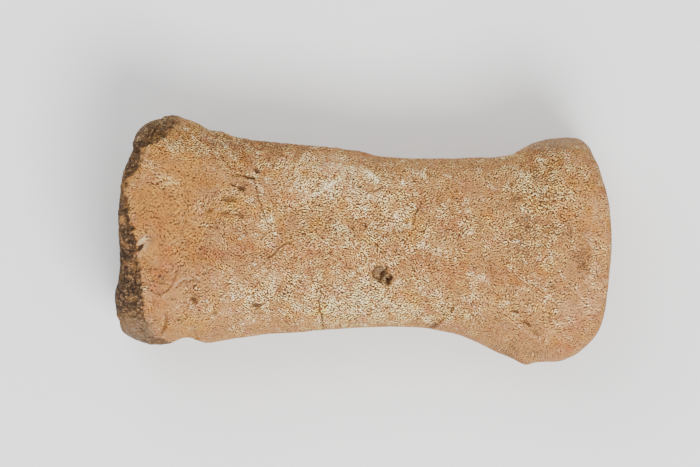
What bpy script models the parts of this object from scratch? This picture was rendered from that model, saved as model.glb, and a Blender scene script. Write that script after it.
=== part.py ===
"""Fossil tail vertebra of a large dinosaur, life size: the spool-shaped body of the bone, with its arch lost.

The bone lies on its right side, as it would on a table. +X runs from its front end to its rear end, +Y is the
side that faced up in life, and +Z is up. Sizes are in metres. Heights and widths are from the bone's own axis.
"""

import math

import bmesh
import bpy
from mathutils import Matrix, Vector, noise

# The two outlines in side view: (place along the bone, height from its axis), from front to rear.
DORSAL_EDGE = (
    (-0.0600, 0.0278),
    (-0.0565, 0.0285),
    (-0.0530, 0.0288),
    (-0.0490, 0.0282),
    (-0.0430, 0.0273),
    (-0.0375, 0.0253),
    (-0.0310, 0.0233),
    (-0.0160, 0.0226),
    (-0.0020, 0.0217),
    (0.0060, 0.0211),
    (0.0240, 0.0219),
    (0.0350, 0.0230),
    (0.0410, 0.0262),
    (0.0470, 0.0274),
    (0.0540, 0.0280),
    (0.0600, 0.0282),
)
VENTRAL_EDGE = (
    (-0.0600, -0.0279),
    (-0.0495, -0.0283),
    (-0.0425, -0.0271),
    (-0.0365, -0.0279),
    (-0.0290, -0.0263),
    (-0.0200, -0.0245),
    (0.0000, -0.0223),
    (0.0140, -0.0213),
    (0.0240, -0.0228),
    (0.0370, -0.0278),
    (0.0460, -0.0295),
    (0.0520, -0.0286),
    (0.0600, -0.0280),
)
# Half the bone's width, seen from above in life.
HALF_WIDTH = (
    (-0.0600, 0.0236),
    (-0.0510, 0.0238),
    (-0.0400, 0.0216),
    (-0.0280, 0.0182),
    (-0.0100, 0.0160),
    (0.0100, 0.0156),
    (0.0260, 0.0171),
    (0.0380, 0.0201),
    (0.0480, 0.0232),
    (0.0560, 0.0242),
    (0.0600, 0.0240),
)
FRONT_END = -0.0594
REAR_END = 0.0604

# How square the cross-section is: 2 is an ellipse. Its top half is the squarer one.
END_SQUARENESS = 2.4
WAIST_SQUARENESS = 2.3
TOP_SQUARENESS = 0.4
WAIST_REACH = 0.038

# The worn lips of the two end faces: length along the bone and depth across it.
FRONT_LIP_LENGTH = 0.0034
FRONT_LIP_VENTRAL_EXTRA = 0.0022
FRONT_LIP_DEPTH = 0.0040
REAR_LIP_LENGTH = 0.0023
REAR_LIP_DEPTH = 0.0022

# The hollows of the two end faces, each with a small pit in its middle.
FRONT_CUP_DEPTH = 0.0062
REAR_CUP_DEPTH = 0.0034
CUP_POWER = 1.3
NOTOCHORD_PIT_DEPTH = 0.0012
NOTOCHORD_PIT_SHARE = 0.16

# In side view the rear end bows out, and the front end recedes at its top corner.
REAR_TOP_BOW = 0.0065
REAR_TOP_POWER = 2.1
REAR_BOTTOM_BOW = 0.0075
REAR_BOTTOM_POWER = 4.5
FRONT_TOP_RECESS = 0.0050
FRONT_BOTTOM_RECESS = 0.0018
RECESS_POWER = 4.0
CORNER_HEIGHT = 0.0260
BOW_REACH = 0.026
FRONT_WAVE = 0.0006
FRONT_WAVE_PERIOD = 0.022
FRONT_WAVE_CREST = 0.004

# The floor of the canal for the spinal cord, and the broken feet of the arch on both sides of it.
CANAL_DEPTH = 0.0026
CANAL_END_DEPTH = 0.0009
CANAL_HALF_WIDTH = 0.0042
CANAL_FLARE = 0.0016
ARCH_FOOT_RISE = 0.0011
ARCH_FOOT_OFFSET = 0.0080
ARCH_FOOT_HALF_WIDTH = 0.0030
ARCH_FOOT_FRONT = -0.040
ARCH_FOOT_REAR = 0.003
ARCH_FOOT_FADE = 0.005

# The groove under the bone, deepest between the two seats of a chevron bone near its ends: (place, depth).
GROOVE_DEPTHS = (
    (-0.0600, 0.0008),
    (-0.0500, 0.0013),
    (-0.0400, 0.0019),
    (-0.0200, 0.0012),
    (0.0100, 0.0010),
    (0.0300, 0.0016),
    (0.0460, 0.0028),
    (0.0540, 0.0022),
    (0.0600, 0.0012),
)
GROOVE_HALF_WIDTH = 0.0048

# Each flank has a soft ridge along it, with a shallow hollow above and one below.
FLANK_RIDGE_HEIGHT = -0.0035
FLANK_HOLLOW_DEPTH = 0.0009
FLANK_HOLLOW_OFFSET = 0.0085
FLANK_HOLLOW_HALF_HEIGHT = 0.0050
FLANK_HOLLOW_REACH = 0.030

# Unevenness of the surface: (size of the lumps, height of the lumps).
LUMPS = ((0.016, 0.00045), (0.007, 0.00022))
FRONT_WEAR_SIZE = 0.0055
FRONT_WEAR_HEIGHT = 0.0007
FRONT_WEAR_REACH = 0.006
FRONT_WEAR_SHIFT = (7, 3, 5)

# On both flanks the front rim is a broken crust, lower than the bone behind it: (height, place where the crust ends).
CRUST_EDGE = (
    (-0.0285, -0.0476),
    (-0.0211, -0.0536),
    (-0.0113, -0.0523),
    (-0.0058, -0.0553),
    (0.0046, -0.0573),
    (0.0119, -0.0577),
    (0.0161, -0.0552),
    (0.0213, -0.0517),
    (0.0295, -0.0455),
)
CRUST_DEPTH = 0.0006
CRUST_STEP = 0.0016

# Patches of rock still fill part of the front cup, out to this share of the way to its lip.
ROCK_HEIGHT = 0.0012
ROCK_PATCH_SIZE = 0.011
ROCK_SHIFT = (2, 9, 4)
ROCK_REACH = 0.8
ROCK_FADE = 0.3

# The small flats on which the bone lies, this far from its axis.
REST_LEVEL = -0.0234

# Holes for blood vessels: place along the bone, height, side (1 is the upper, left side), width, depth.
FORAMINA = (
    ("foramen_left", 0.0048, -0.0091, 1, 0.0042, 0.0030),
    ("foramen_right", -0.0030, -0.0070, -1, 0.0034, 0.0026),
)
FORAMEN_LEAN = (0.35, -0.15, 0.0)
FORAMEN_STRETCH = 1.15

POINTS_AROUND = 64
RINGS_ALONG = 52
LIP_RINGS = 4
FACE_RINGS = 11

BONE_COLOUR = (0.62, 0.42, 0.25, 1.0)
BONE_ROUGHNESS = 0.8


def ease(t):
    """0 below 0, 1 above 1, and a smooth step between."""
    t = min(max(t, 0.0), 1.0)
    return t * t * (3 - 2 * t)


def hump(distance, half_width, power=2):
    """1 at distance 0, falling smoothly to nearly 0 past half_width."""
    return math.exp(-(abs(distance / half_width) ** power))


def follow(outline, x):
    """The height of an outline at x, on a smooth curve through its points."""
    last = len(outline) - 2
    i = 0
    while i < last and x > outline[i + 1][0]:
        i += 1
    before = outline[max(i - 1, 0)]
    start = outline[i]
    end = outline[i + 1]
    after = outline[min(i + 2, last + 1)]
    span = end[0] - start[0]
    t = min(max((x - start[0]) / span, 0.0), 1.0)
    start_slope = (end[1] - before[1]) / (end[0] - before[0]) * span
    end_slope = (after[1] - start[1]) / (after[0] - start[0]) * span
    return (
        start[1] * (1 + 2 * t) * (1 - t) ** 2
        + start_slope * t * (1 - t) ** 2
        + end[1] * t * t * (3 - 2 * t)
        - end_slope * t * t * (1 - t)
    )


def signed_power(value, power):
    return math.copysign(abs(value) ** power, value)


def section_point(x, angle):
    """(height, width) of the bone's surface at x. Angle 0 is the left side, and a quarter turn is the top."""
    waist = 1 - ease(abs(x) / WAIST_REACH)
    upwards = ease(math.sin(angle))
    squareness = END_SQUARENESS + (WAIST_SQUARENESS - END_SQUARENESS) * waist + TOP_SQUARENESS * upwards
    power = 2 / squareness
    edge = DORSAL_EDGE if math.sin(angle) > 0 else VENTRAL_EDGE
    height = abs(follow(edge, x)) * signed_power(math.sin(angle), power)
    width = follow(HALF_WIDTH, x) * signed_power(math.cos(angle), power)
    return height, width


def dorsal_relief(x, width):
    """How far the top rises at a feature there: the feet of the arch up, the canal between them down."""
    towards_end = ease(abs(x) / REAR_END)
    depth = CANAL_DEPTH + (CANAL_END_DEPTH - CANAL_DEPTH) * towards_end
    canal = depth * hump(width, CANAL_HALF_WIDTH + CANAL_FLARE * towards_end, 4)
    along = ease((x - ARCH_FOOT_FRONT) / ARCH_FOOT_FADE) * ease((ARCH_FOOT_REAR - x) / ARCH_FOOT_FADE)
    foot = ARCH_FOOT_RISE * along * hump(abs(width) - ARCH_FOOT_OFFSET, ARCH_FOOT_HALF_WIDTH)
    return foot - canal


def ventral_relief(x, width):
    """How far the underside is hollowed by its groove."""
    return follow(GROOVE_DEPTHS, x) * hump(width, GROOVE_HALF_WIDTH)


def flank_relief(x, height):
    """How far a flank is hollowed above and below its ridge."""
    along = hump(x, FLANK_HOLLOW_REACH, 4)
    offset = abs(height - FLANK_RIDGE_HEIGHT) - FLANK_HOLLOW_OFFSET
    return FLANK_HOLLOW_DEPTH * along * hump(offset, FLANK_HOLLOW_HALF_HEIGHT)


def end_shift(x, height):
    """How far the bone's ends move along it with height: the bow of the rear end and the cut corners."""
    rear = ease((x - REAR_END + BOW_REACH) / BOW_REACH)
    front = ease((FRONT_END + BOW_REACH - x) / BOW_REACH)
    share = abs(height / CORNER_HEIGHT)
    if height > 0:
        bow = REAR_TOP_BOW * share**REAR_TOP_POWER
        recess = FRONT_TOP_RECESS * share**RECESS_POWER
    else:
        bow = REAR_BOTTOM_BOW * share**REAR_BOTTOM_POWER
        recess = FRONT_BOTTOM_RECESS * share**RECESS_POWER
    wave = FRONT_WAVE * math.cos(2 * math.pi * (height - FRONT_WAVE_CREST) / FRONT_WAVE_PERIOD)
    return front * (recess - wave) - rear * bow


def bone_point(x, share, inset, angle):
    """A point of the bone. share shrinks the section about the axis, and inset moves an end face's point along it."""
    height, width = section_point(x, angle)
    top = max(math.sin(angle), 0.0) ** 0.5
    bottom = max(-math.sin(angle), 0.0) ** 0.5
    side = abs(math.cos(angle)) ** 0.5
    height += top * dorsal_relief(x, width) + bottom * ventral_relief(x, width)
    width -= math.copysign(side * flank_relief(x, height), width)
    height *= share
    width *= share
    return Vector((x + inset + end_shift(x, height), height, width))


def face_profile(share, depth):
    """How deep an end face is at this share of the way from its middle to its lip."""
    pit = NOTOCHORD_PIT_DEPTH * hump(share, NOTOCHORD_PIT_SHARE)
    return depth * (1 - share**2) ** CUP_POWER + pit


def front_lip_length(angle):
    """The front lip is worn back further low on the bone."""
    return FRONT_LIP_LENGTH + FRONT_LIP_VENTRAL_EXTRA * max(-math.sin(angle), 0.0)


def rings():
    """Each ring of the bone as a function of the angle round it, from the front face's middle to the rear's."""
    made = []
    lip_share = 1 - FRONT_LIP_DEPTH / CORNER_HEIGHT
    for i in range(1, FACE_RINGS + 1):
        share = i / FACE_RINGS
        depth = face_profile(share, FRONT_CUP_DEPTH)
        made.append(lambda a, s=share * lip_share, d=depth: bone_point(FRONT_END, s, d, a))
    for i in range(1, LIP_RINGS + 1):
        turn = math.pi / 2 * i / LIP_RINGS
        share = lip_share + (1 - lip_share) * math.sin(turn)
        back = 1 - math.cos(turn)
        made.append(lambda a, s=share, b=back: bone_point(FRONT_END, s, b * front_lip_length(a), a))
    for i in range(1, RINGS_ALONG):
        even = i / RINGS_ALONG
        crowded = (1 - math.cos(math.pi * even)) / 2
        along = (even + crowded) / 2
        made.append(lambda a, t=along: side_point(t, a))
    lip_share = 1 - REAR_LIP_DEPTH / CORNER_HEIGHT
    for i in range(LIP_RINGS, 0, -1):
        turn = math.pi / 2 * i / LIP_RINGS
        share = lip_share + (1 - lip_share) * math.sin(turn)
        back = (1 - math.cos(turn)) * REAR_LIP_LENGTH
        made.append(lambda a, s=share, b=back: bone_point(REAR_END, s, -b, a))
    for i in range(FACE_RINGS, 0, -1):
        share = i / FACE_RINGS
        depth = face_profile(share, REAR_CUP_DEPTH)
        made.append(lambda a, s=share * lip_share, d=depth: bone_point(REAR_END, s, -d, a))
    return made


def side_point(along, angle):
    """A point of the bone's side, from the front lip at 0 to the rear lip at 1."""
    start = FRONT_END + front_lip_length(angle)
    end = REAR_END - REAR_LIP_LENGTH
    return bone_point(start + (end - start) * along, 1.0, 0.0, angle)


def closed_loft():
    """The bone as one closed mesh: rings joined by faces, with a fan at each end."""
    mesh = bmesh.new()
    angles = [2 * math.pi * i / POINTS_AROUND for i in range(POINTS_AROUND)]
    loops = [[mesh.verts.new(ring(angle)) for angle in angles] for ring in rings()]
    for first, second in zip(loops, loops[1:]):
        for i in range(POINTS_AROUND):
            j = (i + 1) % POINTS_AROUND
            mesh.faces.new((first[i], second[i], second[j], first[j]))
    for loop, end, depth in ((loops[0], FRONT_END, FRONT_CUP_DEPTH), (loops[-1], REAR_END, -REAR_CUP_DEPTH)):
        pit = math.copysign(NOTOCHORD_PIT_DEPTH, depth)
        middle = mesh.verts.new(bone_point(end, 0.0, depth + pit, 0.0))
        for i in range(POINTS_AROUND):
            mesh.faces.new((loop[i], loop[(i + 1) % POINTS_AROUND], middle))
    bmesh.ops.recalc_face_normals(mesh, faces=mesh.faces[:])
    return mesh


def crust_wear(place, normal):
    """How far the crust on the front rim lies below the bone behind it."""
    return CRUST_DEPTH * ease((follow(CRUST_EDGE, place.y) - place.x) / CRUST_STEP) * abs(normal.z)


def rock(place, normal):
    """How far the rock in the front cup stands out of it."""
    share = math.hypot(place.y / CORNER_HEIGHT, place.z / follow(HALF_WIDTH, FRONT_END))
    inside = ease((ROCK_REACH - share) / ROCK_FADE) * ease(-2 * normal.x - 1)
    return ROCK_HEIGHT * inside * ease(0.5 + noise.noise(place / ROCK_PATCH_SIZE + Vector(ROCK_SHIFT)))


def roughen(mesh):
    """Moves the surface in and out by smooth lumps, by coarser ones on the broken front lip, and by crust and rock."""
    mesh.normal_update()
    moves = []
    for vertex in mesh.verts:
        place = vertex.co
        move = sum(height * noise.noise(place / size) for size, height in LUMPS)
        at_front = 1 - ease((place.x - FRONT_END - end_shift(FRONT_END, place.y)) / FRONT_WEAR_REACH)
        wear = noise.noise(place / FRONT_WEAR_SIZE + Vector(FRONT_WEAR_SHIFT))
        move += at_front * FRONT_WEAR_HEIGHT * wear
        move += rock(place, vertex.normal) - crust_wear(place, vertex.normal)
        moves.append(vertex.normal * move)
    for vertex, move in zip(mesh.verts, moves):
        vertex.co += move
        vertex.co.z = max(vertex.co.z, REST_LEVEL)


def collection(name):
    made = bpy.data.collections.new(name)
    bpy.context.scene.collection.children.link(made)
    return made


def bone_material():
    material = bpy.data.materials.new("fossil_bone")
    material.use_nodes = True
    shader = material.node_tree.nodes["Principled BSDF"]
    shader.inputs["Base Color"].default_value = BONE_COLOUR
    shader.inputs["Roughness"].default_value = BONE_ROUGHNESS
    shader.inputs["Metallic"].default_value = 0.0
    return material


def surface_near(mesh, x, height, side):
    """(point, outward normal) of the bone's surface at x and this height, on its left (1) or right (-1) side."""
    best = min(
        (v for v in mesh.verts if v.co.z * side > 0),
        key=lambda v: (v.co.x - x) ** 2 + (v.co.y - height) ** 2,
    )
    return Vector((x, height, best.co.z)), best.normal.copy()


def foramen_cutter(name, place, normal, width, depth, cutters):
    """A blunt tapered peg, pushed into the surface to leave a vessel hole that leans forwards."""
    bpy.ops.mesh.primitive_uv_sphere_add(segments=14, ring_count=8, radius=0.5)
    peg = bpy.context.object
    peg.name = name
    lean = (normal + Vector(FORAMEN_LEAN)).normalized()
    turn = lean.to_track_quat("Z", "Y").to_matrix().to_4x4()
    peg.data.transform(Matrix.Diagonal((width * FORAMEN_STRETCH, width, depth * 2, 1)))
    peg.matrix_world = Matrix.Translation(place) @ turn
    peg.display_type = "WIRE"
    peg.hide_render = True
    for other in list(peg.users_collection):
        other.objects.unlink(peg)
    cutters.objects.link(peg)
    return peg


def centre_on_floor(objects):
    """Moves everything so that the origin is the middle of the bone's box, at its lowest level."""
    bone = objects[0]
    corners = [v.co for v in bone.data.vertices]
    low = Vector(min(c[i] for c in corners) for i in range(3))
    high = Vector(max(c[i] for c in corners) for i in range(3))
    shift = Vector((-(low.x + high.x) / 2, -(low.y + high.y) / 2, -low.z))
    bone.data.transform(Matrix.Translation(shift))
    for other in objects[1:]:
        other.location += shift


def build():
    for old in list(bpy.data.objects):
        bpy.data.objects.remove(old, do_unlink=True)
    parts = collection("tail_vertebra")
    cutters = collection("cutters")

    mesh = closed_loft()
    roughen(mesh)
    mesh.normal_update()
    pegs = []
    for name, x, height, side, width, depth in FORAMINA:
        place, normal = surface_near(mesh, x, height, side)
        pegs.append(foramen_cutter(name, place, normal, width, depth, cutters))

    data = bpy.data.meshes.new("tail_vertebra")
    mesh.to_mesh(data)
    mesh.free()
    data.shade_smooth()
    data.materials.append(bone_material())
    bone = bpy.data.objects.new("tail_vertebra", data)
    parts.objects.link(bone)
    for peg in pegs:
        cut = bone.modifiers.new(peg.name, "BOOLEAN")
        cut.operation = "DIFFERENCE"
        cut.object = peg
    centre_on_floor([bone, *pegs])


build()
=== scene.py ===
"""Looks of a fossil tail vertebra that lies on its right side, seen from straight above in soft studio light.

The bone's surface is made again here, as a fine mesh on the same outlines as its solid, and then worn,
cracked and pitted. Lengths are in millimetres until the mesh is made. x runs from the front end to the rear
end, y towards the side that faced up in life, and z up, all from the bone's own axis.
"""

import math

import bpy
import numpy as np
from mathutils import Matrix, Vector, noise


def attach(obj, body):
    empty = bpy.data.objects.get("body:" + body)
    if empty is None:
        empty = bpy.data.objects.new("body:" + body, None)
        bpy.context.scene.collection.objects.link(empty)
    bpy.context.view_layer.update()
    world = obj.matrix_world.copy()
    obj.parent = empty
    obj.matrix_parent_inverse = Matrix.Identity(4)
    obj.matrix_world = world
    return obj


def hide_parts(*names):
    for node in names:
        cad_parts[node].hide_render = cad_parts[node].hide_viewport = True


MM = 0.001

# The solid's shape: outlines as (x, height from the axis).
DORSAL_EDGE = (
    (-60.0, 27.8),
    (-56.5, 28.5),
    (-53.0, 28.8),
    (-49.0, 28.2),
    (-43.0, 27.3),
    (-37.5, 25.3),
    (-31.0, 23.3),
    (-16.0, 22.6),
    (-2.0, 21.7),
    (6.0, 21.1),
    (24.0, 21.9),
    (35.0, 23.0),
    (41.0, 26.2),
    (47.0, 27.4),
    (54.0, 28.0),
    (60.0, 28.2),
)
VENTRAL_EDGE = (
    (-60.0, -27.9),
    (-49.5, -28.3),
    (-42.5, -27.1),
    (-36.5, -27.9),
    (-29.0, -26.3),
    (-20.0, -24.5),
    (0.0, -22.3),
    (14.0, -21.3),
    (24.0, -22.8),
    (37.0, -27.8),
    (46.0, -29.5),
    (52.0, -28.6),
    (60.0, -28.0),
)
HALF_WIDTH = (
    (-60.0, 23.6),
    (-51.0, 23.8),
    (-40.0, 21.6),
    (-28.0, 18.2),
    (-10.0, 16.0),
    (10.0, 15.6),
    (26.0, 17.1),
    (38.0, 20.1),
    (48.0, 23.2),
    (56.0, 24.2),
    (60.0, 24.0),
)
FRONT_END = -59.4
REAR_END = 60.4
END_SQUARENESS = 2.4
WAIST_SQUARENESS = 2.3
TOP_SQUARENESS = 0.4
WAIST_REACH = 38.0
FRONT_LIP_LENGTH = 3.4
FRONT_LIP_VENTRAL_EXTRA = 2.2
FRONT_LIP_DEPTH = 4.0
REAR_LIP_LENGTH = 2.3
REAR_LIP_DEPTH = 2.2
FRONT_CUP_DEPTH = 6.2
REAR_CUP_DEPTH = 3.4
CUP_POWER = 1.3
NOTOCHORD_PIT_DEPTH = 1.2
NOTOCHORD_PIT_SHARE = 0.16
REAR_TOP_BOW = 6.5
REAR_TOP_POWER = 2.1
REAR_BOTTOM_BOW = 7.5
REAR_BOTTOM_POWER = 4.5
FRONT_TOP_RECESS = 5.0
FRONT_BOTTOM_RECESS = 1.8
RECESS_POWER = 4.0
CORNER_HEIGHT = 26.0
BOW_REACH = 26.0
FRONT_WAVE = 0.6
FRONT_WAVE_PERIOD = 22.0
FRONT_WAVE_CREST = 4.0
CANAL_DEPTH = 2.6
CANAL_END_DEPTH = 0.9
CANAL_HALF_WIDTH = 4.2
CANAL_FLARE = 1.6
ARCH_FOOT_RISE = 1.1
ARCH_FOOT_OFFSET = 8.0
ARCH_FOOT_HALF_WIDTH = 3.0
ARCH_FOOT_FRONT = -40.0
ARCH_FOOT_REAR = 3.0
ARCH_FOOT_FADE = 5.0
GROOVE_DEPTHS = (
    (-60.0, 0.8),
    (-50.0, 1.3),
    (-40.0, 1.9),
    (-20.0, 1.2),
    (10.0, 1.0),
    (30.0, 1.6),
    (46.0, 2.8),
    (54.0, 2.2),
    (60.0, 1.2),
)
GROOVE_HALF_WIDTH = 4.8
FLANK_RIDGE_HEIGHT = -3.5
FLANK_HOLLOW_DEPTH = 0.9
FLANK_HOLLOW_OFFSET = 8.5
FLANK_HOLLOW_HALF_HEIGHT = 5.0
FLANK_HOLLOW_REACH = 30.0
LUMPS = ((16.0, 0.45), (7.0, 0.22))
FRONT_WEAR_SIZE = 5.5
FRONT_WEAR_HEIGHT = 0.7
FRONT_WEAR_REACH = 6.0
FRONT_WEAR_SHIFT = (7, 3, 5)
CRUST_DEPTH = 0.6
CRUST_STEP = 1.6
ROCK_HEIGHT = 1.2
ROCK_PATCH_SIZE = 11.0
ROCK_SHIFT = (2, 9, 4)
ROCK_REACH = 0.8
ROCK_FADE = 0.3
REST_LEVEL = -23.4

# The mesh: how many rings of points there are on each stretch of the bone, and how many points on each ring.
POINTS_AROUND = 600
UPPER_SHARE = 0.6
FACE_RINGS = 88
FRONT_LIP_RINGS = 18
REAR_LIP_RINGS = 12
SIDE_RINGS = 520

# The heights in all the lists of marks below are from a line this far above the bone's axis.
MARKS_RISE = 0.6

# The broken crust on the front rim: (height, x of its inner edge, how wide that edge fades, strength).
CRUST = (
    (-27.7, -45.7, 1.0, 0.80),
    (-26.3, -49.9, 1.2, 0.70),
    (-24.2, -51.3, 1.2, 0.60),
    (-21.8, -52.2, 1.0, 0.80),
    (-19.9, -52.8, 0.8, 1.00),
    (-17.0, -53.0, 0.9, 1.00),
    (-14.0, -53.2, 1.2, 1.00),
    (-10.1, -53.6, 1.6, 0.95),
    (-7.3, -54.6, 1.2, 1.00),
    (-4.4, -55.3, 0.9, 1.00),
    (-2.4, -55.3, 0.9, 1.00),
    (0.0, -55.8, 0.8, 0.95),
    (2.4, -56.5, 0.7, 0.95),
    (4.3, -57.0, 0.7, 0.95),
    (6.3, -57.8, 0.6, 0.85),
    (8.2, -58.5, 0.6, 0.70),
    (10.1, -58.4, 0.5, 0.70),
    (12.0, -57.4, 0.6, 0.80),
    (13.8, -55.8, 0.7, 0.95),
    (15.2, -54.9, 0.7, 0.95),
    (17.0, -54.9, 0.7, 0.85),
    (18.1, -54.8, 0.8, 0.85),
    (19.4, -54.3, 1.2, 0.95),
    (20.8, -51.7, 1.8, 0.95),
    (22.8, -48.8, 2.0, 0.85),
    (24.9, -46.8, 2.0, 0.80),
    (26.8, -46.3, 2.0, 0.75),
    (27.8, -44.9, 2.2, 0.55),
)

# Long pits on the side that is up: (x, y, half length, half width, slant in degrees, depth, darkness).
PITS = (
    (-26.5, 15.3, 1.0, 0.62, -40, 0.70, 1.0),
    (-28.4, 13.7, 1.8, 0.34, -8, 0.50, 1.0),
    (-31.3, 14.0, 1.4, 0.50, 5, 0.35, 0.55),
    (-31.9, 11.5, 1.0, 0.40, -12, 0.50, 1.0),
    (-30.0, 11.0, 1.0, 0.45, -6, 0.55, 1.0),
    (-32.9, 8.0, 2.0, 0.85, 4, 0.60, 0.72),
    (-37.3, 4.9, 1.1, 0.60, 25, 0.40, 0.60),
    (-33.6, 4.6, 1.3, 0.35, 10, 0.35, 0.75),
    (-30.4, 4.0, 2.2, 0.26, -8, 0.35, 0.80),
    (-36.4, 1.0, 1.4, 0.45, 4, 0.30, 0.50),
    (-40.3, -17.2, 1.0, 0.42, -50, 0.60, 1.0),
    (-40.0, -15.8, 1.6, 0.80, -75, 0.40, 0.25),
    (-46.9, -22.6, 1.8, 0.34, 84, 0.50, 0.50),
    (-47.3, -24.8, 1.4, 0.34, 70, 0.45, 0.50),
    (-24.8, -17.6, 1.4, 0.50, 4, 0.60, 1.0),
    (-34.9, -20.1, 0.6, 0.50, 0, 0.40, 0.60),
    (-43.8, -22.0, 1.4, 0.80, 20, 0.40, 0.40),
    (37.9, -16.0, 1.1, 0.46, -12, 0.50, 0.85),
    (40.9, -18.9, 1.4, 0.46, -25, 0.50, 0.85),
    (43.1, -21.3, 1.2, 0.55, -35, 0.40, 0.45),
    (-1.2, 12.6, 0.42, 0.36, 0, 0.35, 1.0),
    (18.2, -20.7, 1.4, 0.55, 35, 0.45, 0.75),
    (20.3, -19.2, 1.4, 0.38, 42, 0.35, 0.60),
    (22.6, -16.2, 0.9, 0.34, 60, 0.35, 0.80),
    (15.6, 16.0, 0.6, 0.34, 50, 0.25, 0.60),
    (42.8, 11.3, 1.6, 1.0, 20, 0.20, 0.25),
    (36.5, 11.3, 1.4, 0.45, 8, 0.25, 0.55),
    (53.4, -3.9, 1.6, 0.55, 35, 0.25, 0.50),
    (46.4, -9.6, 1.1, 0.50, -20, 0.25, 0.65),
    (39.8, 4.8, 0.9, 0.60, 40, 0.25, 0.60),
    (41.2, 17.0, 0.9, 0.60, -20, 0.25, 0.60),
)

# The lower rim of the dimple behind the front rim.
DIMPLE_RIM = ((-52.3, -11.5), (-51.1, -14.9), (-48.7, -16.2), (-46.5, -14.7), (-45.0, -11.8), (-44.3, -8.0))

# Cracks on the side that is up: (depth, darkness, points).
CRACKS = (
    (0.30, 1.00, ((-27.3, 13.9), (-26.3, 10.3), (-25.3, 7.2), (-24.5, 5.0), (-23.7, 3.4))),
    (0.22, 0.95, ((-24.0, -7.4), (-22.7, -6.2), (-21.2, -4.6), (-19.2, -2.6), (-16.8, -1.5))),
    (0.35, 1.20, ((-9.5, -12.9), (-9.4, -14.6), (-10.0, -15.7), (-9.5, -17.6), (-8.9, -19.9), (-8.6, -23.0))),
    (0.15, 0.50, ((-0.3, -13.6), (-0.3, -17.8))),
    (0.28, 1.30, ((13.8, 9.2), (12.6, 6.8), (12.1, 4.0))),
    (0.25, 0.80, ((-8.9, 3.5), (-9.6, 1.2))),
    (0.25, 0.80, ((4.6, 13.3), (2.1, 11.3))),
    (0.25, 0.60, ((-39.7, 25.0), (-35.4, 23.2), (-33.0, 22.6))),
    (0.18, 0.45, ((-17.5, 5.6), (-18.4, 2.0), (-17.9, 0.2))),
    (0.15, 0.30, DIMPLE_RIM),
)

# Old scars on the side that is up, as shallow steps, each with a dark line of painted shade along its step
# and, where deep, a pale painted highlight beside it: (width, depth, points).
SCARS = (
    (1.0, 0.35, DIMPLE_RIM),
    (0.8, 0.55, ((-45.4, -14.6), (-44.4, -13.7), (-42.7, -12.7), (-40.0, -11.9), (-38.5, -12.8))),
    (1.0, 0.30, ((-41.0, -23.4), (-39.6, -25.2), (-39.0, -27.5))),
)

# Pale mineral streaks on the side that is up: (strength, half width, points).
STREAKS = (
    (0.85, 0.7, ((-14.8, 9.6), (-12.3, 10.1), (-10.1, 11.3), (-8.4, 12.5), (-6.8, 13.7), (-5.6, 15.2))),
    (0.80, 0.7, ((-0.2, 16.2), (1.6, 15.2), (3.0, 14.2))),
    (0.45, 1.5, ((-9.5, 18.6), (-7.0, 17.8), (-2.5, 16.7))),
    (0.70, 0.6, ((10.0, 3.4), (11.2, 3.6))),
    (0.35, 0.7, ((26.5, -7.6), (29.5, -8.6), (31.0, -9.2))),
    (0.35, 1.2, ((-22.8, -10.0), (-20.4, -10.8))),
    (0.50, 0.9, ((-53.0, -2.6), (-53.8, -4.4))),
    (0.22, 1.2, ((-52.5, 15.5), (-49.8, 13.2), (-45.5, 11.0))),
    (0.25, 0.9, ((-49.5, 21.2), (-46.5, 19.2))),
    (0.25, 0.8, ((14.0, -1.0), (17.0, -2.2), (20.5, -3.2))),
)

# Broad patches in side view: (x, y, reach along, reach across, strength).
OCHRE = (
    (-47, 8, 11, 13, 0.90),
    (-50, -4, 6, 10, 0.80),
    (-40, -2, 8, 8, 0.45),
    (-27, 5, 4, 5, 0.22),
    (-35, 14, 8, 6, 0.12),
    (-38, -25, 6, 3, 0.80),
    (51, 15, 7, 8, 0.40),
    (55, 2, 4, 9, 0.25),
    (26, 12, 6, 4, 0.20),
    (-4, -18, 9, 3, 0.20),
    (18, -14, 8, 4, 0.20),
    (-46, 22, 8, 5, 0.40),
)
PINK = (
    (-48.5, -6, 3, 6, 0.80),
    (-49, -18, 4, 5, 0.60),
    (-36, -6, 7, 5, 0.40),
    (45, -6, 8, 6, 0.30),
    (48, -24, 8, 5, 0.40),
    (24, 3, 10, 6, 0.25),
    (-20, -4, 8, 4, 0.30),
)
CREAM_AND_RIM_LIGHT = (
    (-6, -15, 17, 5.5, 0.60),
    (-28, -17, 8, 6, 0.60),
    (-8, 14, 9, 6, 0.85),
    (9, 12, 9, 6, 0.35),
    (12, -1, 10, 6, 0.25),
    (38, -14, 12, 6, 0.35),
    (52, -14, 6, 8, 0.60),
    (-22, 13, 7, 6, 0.40),
    (-27, 8, 5, 6, 0.30),
    (-46, -19, 5, 4, 0.45),
    # Painted light: this patch lightens the rear rim as if more light fell on it from that end.
    (56, 4, 4, 14, 0.55),
    (27, 14, 7, 5, 0.20),
)
STAIN_AND_EDGE_SHADE = (
    (39.5, 2, 3.2, 7, 1.20),
    (36, 13, 3, 3, 0.45),
    (44.5, 12, 4, 4, 0.60),
    (47.5, 3.5, 2.5, 2.5, 0.60),
    (53, -2.3, 3, 3, 0.95),
    (43.5, 19, 3.5, 3.5, 0.90),
    # Painted shade: this patch and the next two lie along the top edge and darken it where it turns away from
    # the light.
    (-33, 22.5, 11, 4.0, 0.85),
    (-17, 21.5, 14, 1.8, 0.60),
    (44, 25.5, 6, 2.2, 0.60),
    (38, -26, 7, 2.0, 0.70),
    (18.5, -20.6, 2.2, 1.2, 0.70),
    (-51.5, -24.5, 3.5, 3, 0.50),
    (-36, 2, 4, 3, 0.25),
    (-50, 24, 5, 4, 0.30),
    (-48, 2, 9, 16, 0.22),
    (-49, -11, 4, 4, 0.55),
)

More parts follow.
